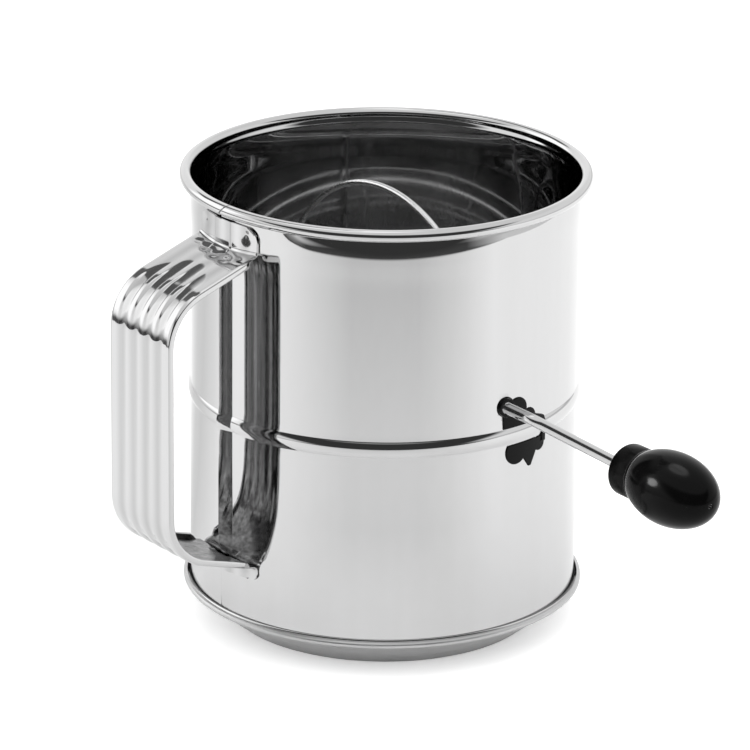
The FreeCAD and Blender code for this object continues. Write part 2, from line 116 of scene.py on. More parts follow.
# Handle
HANDLE_HALF_WIDTH = 20.5
GRIP_RADIUS = 122.7
HANDLE_BEND = 24.0
UPPER_ROOT_Z = 174.0
UPPER_SLOPE = 19.4
LOWER_ROOT_Z = 40.1
LOWER_SLOPE = 16.2
HANDLE_SHEET = 0.8
RIB_COUNT = 5
RIB_PITCH = 8.5
RIB_HEIGHT = 0.8
RIB_UPPER_START = 93.0
RIB_LOWER_START = 101.0
VALLEY_RAMP = 13.0         # the valleys' floors slope down over this length
VALLEY_HALF_WIDTH = 2.5
VALLEY_ROUND = 0.12        # each valley's start is rounded off, by this times the distance aside squared
VALLEY_EASED = 0.42        # depth of the soft waves round the grip, as a share of the valleys' depth
GRIP_UPPER_BLEND = (163.0, 149.0)    # heights over which the valleys turn into those waves
GRIP_LOWER_BLEND = (49.0, 64.0)
VALLEY_ARC = 0.042         # the outer valleys start further from the wall, by this times across squared
VALLEY_STAGGER = -0.1      # and those on the far side a little further still
# Dents next to the wall: place across and from the axis, half-width, half-length and depth.
CRUMPLES = ((-14, 83.2, 2.6, 1.8, 0.35), (-7, 85.0, 3.2, 2.4, 0.5), (1, 86.6, 3.4, 2.6, 0.5),
            (9, 87.2, 3.0, 2.2, 0.4), (15, 84.5, 2.0, 1.6, 0.2))
EDGE_ROUND = (18.9, 20.5)  # distances across between which the strap's face falls away to its edge
EDGE_DROP = 0.3
HEM_WIDTH = 1.6
HEM_DEPTH = 2.6
TAB_HALF_WIDTH = 19.5
TAB_OUTSIDE = 81.4
UPPER_TAB_TIP_Z = 184.7
UPPER_TAB_CORNER = 6.0
LOWER_TAB_TIP_Z = 34.3
LOWER_TAB_CORNER = 3.0
TAB_BEND = 1.6
WELD_SIDE = 14.2           # how far the spot welds are from the tab's middle
UPPER_WELD_Z = 181.6
LOWER_WELD_Z = 36.6
WELD_DISHES = ((0.55, 4.4), (0.15, 1.1))    # depth and radius of a weld's dish, and of its own pit
SEAM_BULGE = (-6.2, -5.2, 4.8, 5.6)         # where the tab rises over the folded seam and comes down
SEAM_BULGE_HEIGHT = 0.5

# View
CAMERA_PLACE = (1.6855, -1.2747, 0.8703)
CAMERA_TARGET = (-0.0023, -0.0030, 0.1014)
CAMERA_LENS = 261.3
CAMERA_ROLL = math.radians(0.59)
# The table's reach behind and ahead of the sifter, and right and left of it.
TABLE = (-2000.0, 720.0, -2000.0, 850.0)
TABLE_DROP = 0.05          # how far it lies below the foot, so that the two don't flicker


# ---------------------------------------------------------------- outlines and grids of points

def smooth(value, low, high):
    """0 below low, 1 above high and a smooth rise between them; it falls if low is above high."""
    t = np.clip((value - low) / (high - low), 0, 1)
    return t * t * (3 - 2 * t)


def unit(vector):
    """A vector's direction."""
    return vector / np.linalg.norm(vector)


def arc(centre, radius, start, end, steps):
    """Points of an arc in a section plane, with its angles in degrees."""
    angles = np.radians(np.linspace(start, end, steps + 1))
    return [(centre[0] + radius * math.cos(a), centre[1] + radius * math.sin(a)) for a in angles]


def run(start, end, steps):
    """Points from start up to, but without, end."""
    shares = np.linspace(0, 1, steps, endpoint=False)[:, None]
    return list(np.array(start) * (1 - shares) + np.array(end) * shares)


def rounded(corners, radius, steps=4):
    """A closed outline with every corner rounded off."""
    corners = [np.array(c, float) for c in corners]
    points = []
    for before, corner, after in zip(corners[-1:] + corners[:-1], corners, corners[1:] + corners[:1]):
        back = before - corner
        ahead = after - corner
        enter = corner + unit(back) * min(radius, 0.45 * np.linalg.norm(back))
        leave = corner + unit(ahead) * min(radius, 0.45 * np.linalg.norm(ahead))
        for t in np.linspace(0, 1, steps + 1):
            points.append(enter * (1 - t) ** 2 + corner * 2 * t * (1 - t) + leave * t ** 2)
    return points


def filleted_path(corners, radii, arc_steps, run_steps):
    """Points along straight runs, with an arc of the given radius at each inner corner."""
    corners = [np.array(c, float) for c in corners]
    points = []
    start = corners[0]
    for index, (radius, steps) in enumerate(zip(radii, arc_steps), 1):
        back = unit(corners[index - 1] - corners[index])
        ahead = unit(corners[index + 1] - corners[index])
        half = math.acos(np.clip(back @ ahead, -1, 1)) / 2
        turn = math.pi - 2 * half
        centre = corners[index] + unit(back + ahead) * radius / math.sin(half)
        enter = corners[index] + back * radius / math.tan(half)
        leave = corners[index] + ahead * radius / math.tan(half)
        points += run(start, enter, run_steps[index - 1])
        for t in np.linspace(0, turn, steps, endpoint=False):
            swing = math.sin(turn - t) * (enter - centre) + math.sin(t) * (leave - centre)
            points.append(centre + swing / math.sin(turn))
        start = leave
    points += run(start, corners[-1], run_steps[-1])
    return np.array(points + [corners[-1]])


def turned(section, azimuths):
    """Grid of points that a section (r, z) makes about the can's axis. Azimuth 0 is the handle's side."""
    radius, height = np.array(section, float).T
    azimuths = np.array(azimuths)[:, None]
    return np.stack([radius * np.sin(azimuths), -radius * np.cos(azimuths),
                     np.broadcast_to(height, (len(azimuths), len(height)))], axis=-1)


def turned_along_x(section, centre, steps):
    """Grid of points that a section (x, r) makes about a line along X through centre."""
    place, radius = np.array(section, float).T
    angles = np.linspace(0, 2 * math.pi, steps, endpoint=False)[:, None]
    return np.stack([np.broadcast_to(place, (steps, len(place))), centre[1] + radius * np.cos(angles),
                     centre[2] + radius * np.sin(angles)], axis=-1)


def tube(path, radius, side, sides=16):
    """Rings of points round a path that lies in one plane; side is square to that plane."""
    path = np.array(path, float)
    steps = np.diff(path, axis=0)
    steps /= np.linalg.norm(steps, axis=1, keepdims=True)
    ahead = np.vstack([steps[:1], steps[:-1] + steps[1:], steps[-1:]])
    ahead /= np.linalg.norm(ahead, axis=1, keepdims=True)
    across = np.cross(ahead, side)
    angles = np.linspace(0, 2 * math.pi, sides, endpoint=False)[:, None]
    spokes = np.cos(angles) * side + np.sin(angles) * across[:, None, :]
    return path[:, None, :] + np.reshape(radius, (-1, 1, 1)) * spokes


def round_ended(path, radius):
    """A path with points added near its ends, and its radius at each point, for two rounded ends."""
    first = unit(path[1] - path[0]) * radius
    last = unit(path[-2] - path[-1]) * radius
    shares = ((0.0, 0.55), (0.12, 0.85), (0.4, 1.0))
    head = [path[0] + first * reach for reach, _ in shares]
    tail = [path[-1] + last * reach for reach, _ in reversed(shares)]
    widths = [share for _, share in shares]
    full = [1.0] * (len(path) - 2)
    return np.vstack([head, path[1:-1], tail]), radius * np.array(widths + full + widths[::-1])


# ---------------------------------------------------------------- making pieces

def grid_faces(rows, columns, close_rows, close_columns, capped):
    """Faces that join the points of a grid, row by row."""
    index = np.arange(rows * columns).reshape(rows, columns)
    ends = [index[0].tolist(), index[-1][::-1].tolist()] if capped else []
    if close_rows:
        index = np.vstack([index, index[:1]])
    if close_columns:
        index = np.hstack([index, index[:, :1]])
    corners = (index[:-1, :-1], index[1:, :-1], index[1:, 1:], index[:-1, 1:])
    return np.stack(corners, axis=-1).reshape(-1, 4).tolist() + ends


def object_from(name, points, faces, sharp=40):
    """A mesh object from points in millimetres, with outward faces and smooth shading."""
    mesh = bpy.data.meshes.new(name)
    mesh.from_pydata((np.array(points) * MM).tolist(), [], faces)
    shape = bmesh.new()
    shape.from_mesh(mesh)
    bmesh.ops.recalc_face_normals(shape, faces=shape.faces)
    shape.to_mesh(mesh)
    shape.free()
    mesh.shade_smooth()
    mesh.set_sharp_from_angle(angle=math.radians(sharp))
    piece = bpy.data.objects.new(name, mesh)
    bpy.context.scene.collection.objects.link(piece)
    return piece


def from_grid(name, grid, close_rows=False, close_columns=False, capped=False, sharp=40):
    """A piece whose faces join a grid of points (rows, columns, 3)."""
    faces = grid_faces(*grid.shape[:2], close_rows, close_columns, capped)
    return object_from(name, grid.reshape(-1, 3), faces, sharp)


def from_grids(name, grids):
    """One piece made of several capped tubes."""
    points = []
    faces = []
    for grid in grids:
        offset = len(points)
        points += grid.reshape(-1, 3).tolist()
        faces += [[offset + i for i in face] for face in grid_faces(*grid.shape[:2], False, True, True)]
    return object_from(name, points, faces)


def apply_modifiers(piece):
    """Makes a piece's modifiers part of its mesh."""
    bpy.context.view_layer.update()
    finished = piece.evaluated_get(bpy.context.evaluated_depsgraph_get())
    piece.data = bpy.data.meshes.new_from_object(finished)
    piece.modifiers.clear()


def cut(piece, *cutters):
    """Takes closed shapes out of a piece and removes them."""
    for cutter in cutters:
        step = piece.modifiers.new("cut", "BOOLEAN")
        step.operation = "DIFFERENCE"
        step.solver = "EXACT"
        step.object = cutter
    apply_modifiers(piece)
    for cutter in cutters:
        bpy.data.objects.remove(cutter)
    return piece


def softened_copy(node, voxel, passes):
    """A CAD node's shape with its hard edges rounded, as a moulded piece has."""
    piece = bpy.data.objects.new(node + "_moulded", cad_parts[node].data.copy())
    bpy.context.scene.collection.objects.link(piece)
    weld = piece.modifiers.new("weld", "WELD")
    weld.merge_threshold = 0.001 * MM
    remesh = piece.modifiers.new("remesh", "REMESH")
    remesh.mode = "VOXEL"
    remesh.voxel_size = voxel * MM
    remesh.use_smooth_shade = True
    relax = piece.modifiers.new("relax", "SMOOTH")
    relax.factor = 0.5
    relax.iterations = passes
    apply_modifiers(piece)
    piece.data.shade_smooth()
    return piece


def place(piece, body, slot, finish, *nodes):
    """Gives a piece its finish and its body, and hides the CAD nodes that it stands for; slot is not used.
    """
    piece.data.materials.clear()
    piece.data.materials.append(finish)
    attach(piece, body)
    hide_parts(*nodes)
    return piece


# ---------------------------------------------------------------- materials

GRAIN_SCALE = 2600


def new_material(name):
    """A material with its node tree and its shader."""
    material = bpy.data.materials.new(name)
    material.use_nodes = True
    tree = material.node_tree
    return material, tree, tree.nodes["Principled BSDF"]


def noise(tree, scale, stretch=(1, 1, 1), detail=3.0, roughness=0.5):
    """Noise in the object's own space, drawn out along each axis by its stretch."""
    place_in = tree.nodes.new("ShaderNodeTexCoord")
    mapping = tree.nodes.new("ShaderNodeMapping")
    mapping.inputs["Scale"].default_value = [scale / s for s in stretch]
    texture = tree.nodes.new("ShaderNodeTexNoise")
    texture.inputs["Scale"].default_value = 1.0
    texture.inputs["Detail"].default_value = detail
    texture.inputs["Roughness"].default_value = roughness
    tree.links.new(place_in.outputs["Object"], mapping.inputs["Vector"])
    tree.links.new(mapping.outputs["Vector"], texture.inputs["Vector"])
    return texture.outputs["Fac"]


def spread(tree, value, low, high, from_low=0.3, from_high=0.7):
    """Maps a noise value to a range."""
    node = tree.nodes.new("ShaderNodeMapRange")
    node.inputs["From Min"].default_value = from_low
    node.inputs["From Max"].default_value = from_high
    node.inputs["To Min"].default_value = low
    node.inputs["To Max"].default_value = high
    tree.links.new(value, node.inputs["Value"])
    return node.outputs["Result"]


def calculate(tree, operation, first, second):
    """A math node over two numbers or sockets."""
    node = tree.nodes.new("ShaderNodeMath")
    node.operation = operation
    for socket, value in zip(node.inputs, (first, second)):
        if isinstance(value, (int, float)):
            socket.default_value = value
        else:
            tree.links.new(value, socket)
    return node.outputs["Value"]


def relief(tree, height, depth, below=None):
    """A bump of the given depth in millimetres, over another one."""
    node = tree.nodes.new("ShaderNodeBump")
    node.inputs["Strength"].default_value = 1.0
    node.inputs["Distance"].default_value = depth * MM
    tree.links.new(height, node.inputs["Height"])
    if below is not None:
        tree.links.new(below, node.inputs["Normal"])
    return node.outputs["Normal"]


def shades(tree, value, dark, light):
    """A grey that varies with a noise value."""
    ramp = tree.nodes.new("ShaderNodeValToRGB")
    ramp.color_ramp.elements[0].position = 0.3
    ramp.color_ramp.elements[0].color = (dark, dark, dark, 1)
    ramp.color_ramp.elements[1].position = 0.7
    ramp.color_ramp.elements[1].color = (light, light, light * 1.005, 1)
    tree.links.new(value, ramp.inputs["Fac"])
    return ramp.outputs["Color"]


def steel(name, grey, roughness, wave_depth, grain_stretch, grain_depth, streak_scale=45, streak=0.03):
    """Stainless steel: a slight wave in the sheet, fine polishing grain, streaks and faint cloudiness."""
    material, tree, shader = new_material(name)
    shader.inputs["Metallic"].default_value = 1.0
    streaks = noise(tree, streak_scale, grain_stretch)
    colour = shades(tree, streaks, grey * (1 - streak), grey * (1 + streak))
    tree.links.new(colour, shader.inputs["Base Color"])
    cloud = spread(tree, noise(tree, 30, detail=5.0), roughness[0], roughness[1])
    grain = spread(tree, noise(tree, GRAIN_SCALE, grain_stretch, detail=2.0), 0.0, roughness[1] * 0.5)
    tree.links.new(calculate(tree, "ADD", cloud, grain), shader.inputs["Roughness"])
    wave = relief(tree, noise(tree, 22, detail=1.0), wave_depth)
    grooves = relief(tree, noise(tree, GRAIN_SCALE, grain_stretch), grain_depth, wave)
    tree.links.new(grooves, shader.inputs["Normal"])
    return material


def paint_valley_shade(material, pitch, share):
    """Paints shade into the steel's colour: darker in grooves at an even pitch, the first half a pitch off
    its middle.
    """
    tree = material.node_tree
    colour = tree.nodes["Principled BSDF"].inputs["Base Color"]
    parts = tree.nodes.new("ShaderNodeSeparateXYZ")
    tree.links.new(tree.nodes.new("ShaderNodeTexCoord").outputs["Object"], parts.inputs["Vector"])
    turn = calculate(tree, "MULTIPLY", parts.outputs["X"], 2 * math.pi / (pitch * MM))
    wave = spread(tree, calculate(tree, "COSINE", turn, 0.0), 1 - share, 1.0, -1.0, 1.0)
    aside = calculate(tree, "ABSOLUTE", parts.outputs["X"], 0.0)
    outer = spread(tree, aside, 0, 1, 2 * pitch * MM, 2.1 * pitch * MM)
    scale = tree.nodes.new("ShaderNodeVectorMath")
    scale.operation = "SCALE"
    tree.links.new(colour.links[0].from_socket, scale.inputs["Vector"])
    tree.links.new(calculate(tree, "MAXIMUM", wave, outer), scale.inputs["Scale"])
    tree.links.new(scale.outputs["Vector"], colour)


def plastic(name, grey, roughness, index, pebble_scale, pebble_depth):
    """Black moulded plastic with a slight unevenness."""
    material, tree, shader = new_material(name)
    shader.inputs["IOR"].default_value = index
    colour = shades(tree, noise(tree, 90, detail=4.0), grey * 0.8, grey * 1.2)
    tree.links.new(colour, shader.inputs["Base Color"])
    tree.links.new(spread(tree, noise(tree, 160, detail=6.0), *roughness), shader.inputs["Roughness"])
    tree.links.new(relief(tree, noise(tree, pebble_scale), pebble_depth), shader.inputs["Normal"])
    return material


# How far the polishing grain is drawn out along each axis.
UPRIGHT = (1, 1, 30)
LEVEL = (30, 30, 1)
ALONG_X = (30, 1, 1)
POLISHED = steel("polished_steel", 0.58, (0.025, 0.05), 0.02, UPRIGHT, 0.00005)
HANDLE_STEEL = steel("handle_steel", 0.58, (0.04, 0.08), 0.006, UPRIGHT, 0.0001)
STRAP_BACK = steel("strap_back", 0.25, (0.12, 0.2), 0.01, UPRIGHT, 0.0006, 350, 0.5)
BRUSHED = steel("brushed_base", 0.55, (0.22, 0.34), 0.004, LEVEL, 0.001)
# painted shade: the handle's steel is darker in its rib valleys
paint_valley_shade(HANDLE_STEEL, RIB_PITCH, 0.2)
SCREEN_STEEL = steel("screen_wire", 0.5, (0.25, 0.4), 0.0, (1, 1, 1), 0.0005)
WIRE_STEEL = steel("bright_wire", 0.62, (0.06, 0.12), 0.003, ALONG_X, 0.0003)
HOOP_STEEL = steel("hoop_wire", 0.66, (0.16, 0.24), 0.002, ALONG_X, 0.0005)
HUB_STEEL = steel("turned_hub", 0.55, (0.15, 0.25), 0.0, ALONG_X, 0.001)
MOULDING = plastic("black_moulding", 0.002, (0.16, 0.28), 1.2, 900, 0.006)
GLOSS = plastic("black_gloss", 0.002, (0.12, 0.18), 1.17, 60, 0.006)


# ---------------------------------------------------------------- can

def bead_outline(offset):
    """The wall's bead from bottom to top, as (r, z); offset is how far it lies inside the outer face."""
    radius = (BEAD_HALF_HEIGHT ** 2 + BEAD_PROUD ** 2) / (2 * BEAD_PROUD)
    centre = CAN_RADIUS + BEAD_PROUD - radius
    foot = BEAD_FOOT_RADIUS + offset
    reach = radius + BEAD_FOOT_RADIUS
    foot_r = CAN_RADIUS + BEAD_FOOT_RADIUS
    drop = math.sqrt(reach ** 2 - (foot_r - centre) ** 2)
    tilt = math.degrees(math.asin(drop / reach))
    low = arc((foot_r, BEAD_Z - drop), foot, 180, 180 - tilt, 4)
    crown = arc((centre, BEAD_Z), radius - offset, -tilt, tilt, 18)[1:-1]
    high = arc((foot_r, BEAD_Z + drop), foot, 180 + tilt, 180, 4)
    return low + crown + high


def wall_side(offset):
    """One side of the can's sheet from the seam flange to the curl, as (r, z)."""
    corner = (SEAM_ROLL_CENTRE, SEAM_Z + SHEET / 2 + SEAM_FILLET)
    radius = CAN_RADIUS - offset
    fillet = arc(corner, SEAM_FILLET + offset, 270, 180, 6)
    bead = bead_outline(offset)
    lower = run((radius, corner[1]), bead[0], 16)[1:]
    upper = run(bead[-1], (radius, NECK_LOW), 24)[1:]
    neck = run((radius, NECK_LOW), (radius, RIM_Z), 30)
    return fillet + lower + bead + upper + neck


def curl(radius, start, end):
    """One side of the rolled rim, as (r, z)."""
    return arc((CAN_RADIUS - SHEET + CURL_RADIUS, RIM_Z), radius, start, end, 26)


def neck_depth(height, across):
    """How far the wall is drawn in under the rim, except behind the handle's tab."""
    share = np.clip((height - NECK_LOW) / (NECK_HIGH - NECK_LOW), 0, 1)
    depth = NECK_DEPTH * share ** 2.2 - FLARE * smooth(height, FLARE_LOW, NECK_LOW)
    return depth * smooth(height, RIM_Z - 0.3, NECK_HIGH) * smooth(np.abs(across), 23.0, 44.0)


def seam_height(height, across):
    """How proud the folded seam stands: steep at its step, and lower where the handle's tabs lie on it."""
    share = np.clip((LOCK_SEAM[1] - across) / (LOCK_SEAM[1] - LOCK_SEAM[0]), 0, 1)
    low, low_full, high_full, high = LOCK_SEAM_OPEN
    free = smooth(height, low, low_full) * smooth(height, high, high_full)
    proud = LOCK_SEAM_UNDER_TABS + (LOCK_SEAM_PROUD - LOCK_SEAM_UNDER_TABS) * free
    ends = smooth(height, SEAM_Z + 2.0, SEAM_Z + 3.5) * smooth(height, RIM_Z - 1.5, RIM_Z - 3)
    step = smooth(across, LOCK_SEAM[0] - 0.35, LOCK_SEAM[0] + 0.1)
    return proud * ends * step * (0.9 * share + 0.1 * share ** 2)


def can_azimuths():
    """Evenly spaced azimuths, with more of them over the folded seam's edges."""
    even = np.radians(np.arange(-180, 180, 1.25))
    edges = [edge / CAN_RADIUS + shift for edge in LOCK_SEAM for shift in np.linspace(-0.008, 0.008, 7)]
    face = np.linspace(*LOCK_SEAM, 12) / CAN_RADIUS
    return np.unique(np.round(np.concatenate([even, edges, face]), 5))


def body_shell():
    """The can: one sheet with its flange, bead, drawn-in neck, curled rim and folded seam."""
    outside = wall_side(0.0)
    inside = wall_side(SHEET)
    tip = [(FLANGE_TIP, SEAM_Z + SHEET / 2)]
    tip_below = [(FLANGE_TIP, SEAM_Z - SHEET / 2)]
    curl_in = curl(CURL_RADIUS - SHEET, 180, CURL_END)
    curl_out = curl(CURL_RADIUS, CURL_END, 180)
    section = tip + outside + curl_in + curl_out + inside[::-1] + tip_below
    azimuths = can_azimuths()
    grid = turned(section, azimuths)
    heights = grid[0, :, 2]
    across = azimuths[:, None] * CAN_RADIUS
    push = -neck_depth(heights, across) * (np.array(section)[:, 0] < CAN_RADIUS + 0.01)
    is_outside = np.zeros(len(section))
    is_outside[1:1 + len(outside)] = 1
    push = push + seam_height(heights, across) * is_outside
    grid[..., 0] += push * np.sin(azimuths[:, None])
    grid[..., 1] -= push * np.cos(azimuths[:, None])
    can = from_grid("can_body", grid, close_rows=True, close_columns=True, sharp=50)
    joint = slanted_slot(RIM_JOINT_PLACE, RIM_JOINT, -90, -79.2, RIM_Z - 3.2, RIM_Z + 3.5)
    holes = [(-CUT_REACH, WALL_HOLE_RADIUS), (CUT_REACH, WALL_HOLE_RADIUS)]
    drill = turned_along_x(holes, SHAFT_CENTRE, 40).swapaxes(0, 1)
    cut(can, joint, from_grid("hole", drill, close_columns=True, capped=True))
    return place(can, "can", "polished_steel", POLISHED, "body_shell")


def slanted_slot(middle, width, near, far, low, high):
    """A thin upright block that leans sideways, used only to cut with."""
    sides = ((y, z, x) for x in (-0.5, 0.5) for y in (near, far) for z in (low, high))
    corners = [(middle + x * width + (z - RIM_Z) * RIM_JOINT_SLANT, y, z) for y, z, x in sides]
    faces = [(0, 1, 3, 2), (4, 6, 7, 5), (0, 4, 5, 1), (2, 3, 7, 6), (0, 2, 6, 4), (1, 5, 7, 3)]
    return object_from("block", corners, faces)


def base_ring():
    """The tapering outlet ring, rolled round the can's flange at its top edge."""
    roll = (SEAM_ROLL_CENTRE, SEAM_Z)
    inner = SEAM_ROLL_RADIUS - SHEET
    shoulder = CAN_RADIUS + 0.6
    foot_inner = FOOT_RADIUS - FOOT_WIDTH
    low = SEAM_Z - SEAM_ROLL_RADIUS
    foot = [(foot_inner, SHEET), (foot_inner, 0.0), (FOOT_RADIUS - 0.5, 0.0), (FOOT_RADIUS, 0.25)]
    cone = run((FOOT_RADIUS + 0.4, 0.6), (shoulder, low), 12)[1:]
    outside = arc(roll, SEAM_ROLL_RADIUS, -90, 95, 20)
    back = arc(roll, inner, 95, -90, 14)
    inside = run((shoulder - 0.3, low + SHEET), (FOOT_RADIUS - 0.4, SHEET + 0.2), 12)
    grid = turned(foot + cone + outside + back + inside, np.radians(np.arange(0, 360, 1.5)))
    ring = from_grid("outlet_ring", grid, close_rows=True, close_columns=True, sharp=50)
    return place(ring, "can", "satin_steel", BRUSHED, "base_ring")


def screen_ring():
    """The ring that grips the screen's edge and sits in the can at its bead."""
    band_in, band_out = RING_BAND
    hem_in, hem_out = RING_HEM
    band = [(band_in, -3.5), (band_out, -3.5), (band_out, 3.5), (band_in, 3.5), (band_in, 0.0)]
    hem = [(hem_out, 0.0), (hem_out, 1.5), (hem_in, 1.5), (hem_in, -2.5), (hem_out, -2.5)]
    web = [(hem_out, -0.8), (band_in, -0.8)]
    section = [(radius, BEAD_Z + height) for radius, height in band + hem + web]
    grid = turned(rounded(section, 0.3, 3), np.radians(np.arange(0, 360, 2)))
    ring = from_grid("screen_retaining_ring", grid, close_rows=True, close_columns=True)
    return place(ring, "can", "satin_steel", HUB_STEEL, "screen_ring")


# ---------------------------------------------------------------- screen

def screen_wires(along, across, phase):
    """One set of parallel wires, woven over and under the other set and pressed to the dome."""
    sphere = SCREEN_RADIUS - 0.3
    reach = math.sqrt(sphere ** 2 - (SHAFT_Z - SCREEN_RIM_Z) ** 2)
    count = int(reach / SCREEN_PITCH)
    grids = []
    for index in range(-count, count + 1):
        offset = index * SCREEN_PITCH
        half = math.sqrt(reach ** 2 - offset ** 2)
        crossings = int(half / SCREEN_PITCH)
        if crossings < 2:
            continue
        steps = np.arange(-crossings * 2, crossings * 2 + 1)
        distance = (steps + 0.5) * SCREEN_PITCH / 2
        distance = distance[np.abs(distance) < half]
        nearest = np.floor(distance / SCREEN_PITCH + 0.5)
        lift = SCREEN_WIRE_RADIUS * 0.9 * np.where((nearest + index + phase) % 2 == 0, 1, -1)
        depth = np.sqrt(sphere ** 2 - offset ** 2 - distance ** 2)
        outward = (distance[:, None] * along + offset * across - depth[:, None] * Z_AXIS) / sphere
        path = SHAFT_CENTRE + outward * (sphere + lift)[:, None]
        grids.append(tube(path, SCREEN_WIRE_RADIUS, across, 5))
    return grids


def screen():
    """The woven screen, as its two sets of wires."""
    warp = from_grids("screen_warp", screen_wires(X_AXIS, Y_AXIS, 0))
    weft = from_grids("screen_weft", screen_wires(Y_AXIS, X_AXIS, 1))
    place(warp, "can", "screen_wire", SCREEN_STEEL, "screen_mesh")
    place(weft, "can", "screen_wire", SCREEN_STEEL, "screen_mesh")


# ---------------------------------------------------------------- handle

def handle_path(across):
    """The rib crests' line at one place across the handle, as (r, z), from the upper tab to the lower."""
    half = HANDLE_HALF_WIDTH
    tab_face = math.sqrt(TAB_OUTSIDE ** 2 - across ** 2)
    upper = math.tan(math.radians(UPPER_SLOPE))
    lower = math.tan(math.radians(LOWER_SLOPE))
    share = min(abs(across) * TAB_HALF_WIDTH / half, TAB_HALF_WIDTH)

    def tip_drop(corner):
        into = max(0.0, share - (TAB_HALF_WIDTH - corner))
        return corner - math.sqrt(corner ** 2 - into ** 2)

    corners = [(tab_face, UPPER_TAB_TIP_Z - tip_drop(UPPER_TAB_CORNER)),
               (tab_face, UPPER_ROOT_Z - (tab_face - CAN_RADIUS) * upper),
               (GRIP_RADIUS, UPPER_ROOT_Z - (GRIP_RADIUS - CAN_RADIUS) * upper),
               (GRIP_RADIUS, LOWER_ROOT_Z + (GRIP_RADIUS - CAN_RADIUS) * lower),
               (tab_face, LOWER_ROOT_Z + (tab_face - CAN_RADIUS) * lower),
               (tab_face, LOWER_TAB_TIP_Z + tip_drop(LOWER_TAB_CORNER))]
    radii = (TAB_BEND, HANDLE_BEND, HANDLE_BEND, TAB_BEND)
    return filleted_path(corners, radii, (8, 30, 30, 8), (26, 26, 24, 22, 22))


def valley_profiles(across):
    """The four valleys between the ribs, 0 on the crests: with a flat floor, and as a plain wave."""
    middles = (np.arange(RIB_COUNT - 1) - (RIB_COUNT - 2) / 2) * RIB_PITCH
    distance = np.min(np.abs(across[:, None] - middles), axis=1)
    flat = smooth(distance, VALLEY_HALF_WIDTH + 0.9, VALLEY_HALF_WIDTH - 0.6)
    wave = 0.5 + 0.5 * np.cos(2 * math.pi * np.minimum(distance, RIB_PITCH / 2) / RIB_PITCH)
    return distance, flat, wave


def valley_depth(across, distance, height):
    """Depth of the valleys, 0 to 1: they slope down along the arms and are soft waves round the grip."""
    upper = height > (UPPER_ROOT_Z + LOWER_ROOT_Z) / 2
    aside, flat, wave = valley_profiles(across)
    upper_start = RIB_UPPER_START + VALLEY_ARC * across ** 2 + VALLEY_STAGGER * across
    start = np.where(upper, upper_start, RIB_LOWER_START)
    into = distance - start - VALLEY_ROUND * aside ** 2
    ramp = np.clip(into / VALLEY_RAMP, 0, 1)
    grip = np.where(upper, smooth(height, *GRIP_UPPER_BLEND), smooth(height, *GRIP_LOWER_BLEND))
    return ramp * (flat * (1 - grip) + VALLEY_EASED * wave * grip)


def crumple(across, distance, height):
    """Shallow dents in the upper arm, next to the wall."""
    depth = 0
    for x, r, width, length, deep in CRUMPLES:
        spot = ((across - x) / width) ** 2 + ((distance - r) / length) ** 2
        depth = depth + deep * np.exp(-spot)
    return depth * (height > (UPPER_ROOT_Z + LOWER_ROOT_Z) / 2)


def handle_section():
    """The handle's cut edge: across on the outside face, (across, depth) round a hem, across inside."""
    half = HANDLE_HALF_WIDTH
    hem = half - HEM_WIDTH
    outside = np.linspace(0.35 - half, half - 0.35, 141)
    inside = np.linspace(hem - 0.2, 0.2 - hem, 101)
    edge = [(half - 0.1, 0.1), (half, 0.4), (half, HEM_DEPTH - 0.4), (half - 0.1, HEM_DEPTH - 0.1),
            (half - 0.4, HEM_DEPTH), (hem + 0.4, HEM_DEPTH), (hem + 0.1, HEM_DEPTH - 0.1),
            (hem, HEM_DEPTH - 0.4)]
    return outside, np.array(edge), inside


def weld_dish(across, height, weld_height):
    """How far the tab is drawn towards the wall round its two spot welds."""
    depth = 0
    for side in (-WELD_SIDE, WELD_SIDE):
        distance = np.hypot(across - side, height - weld_height)
        for deep, radius in WELD_DISHES:
            depth = depth + deep * np.exp(-(distance / radius) ** 2)
    return depth


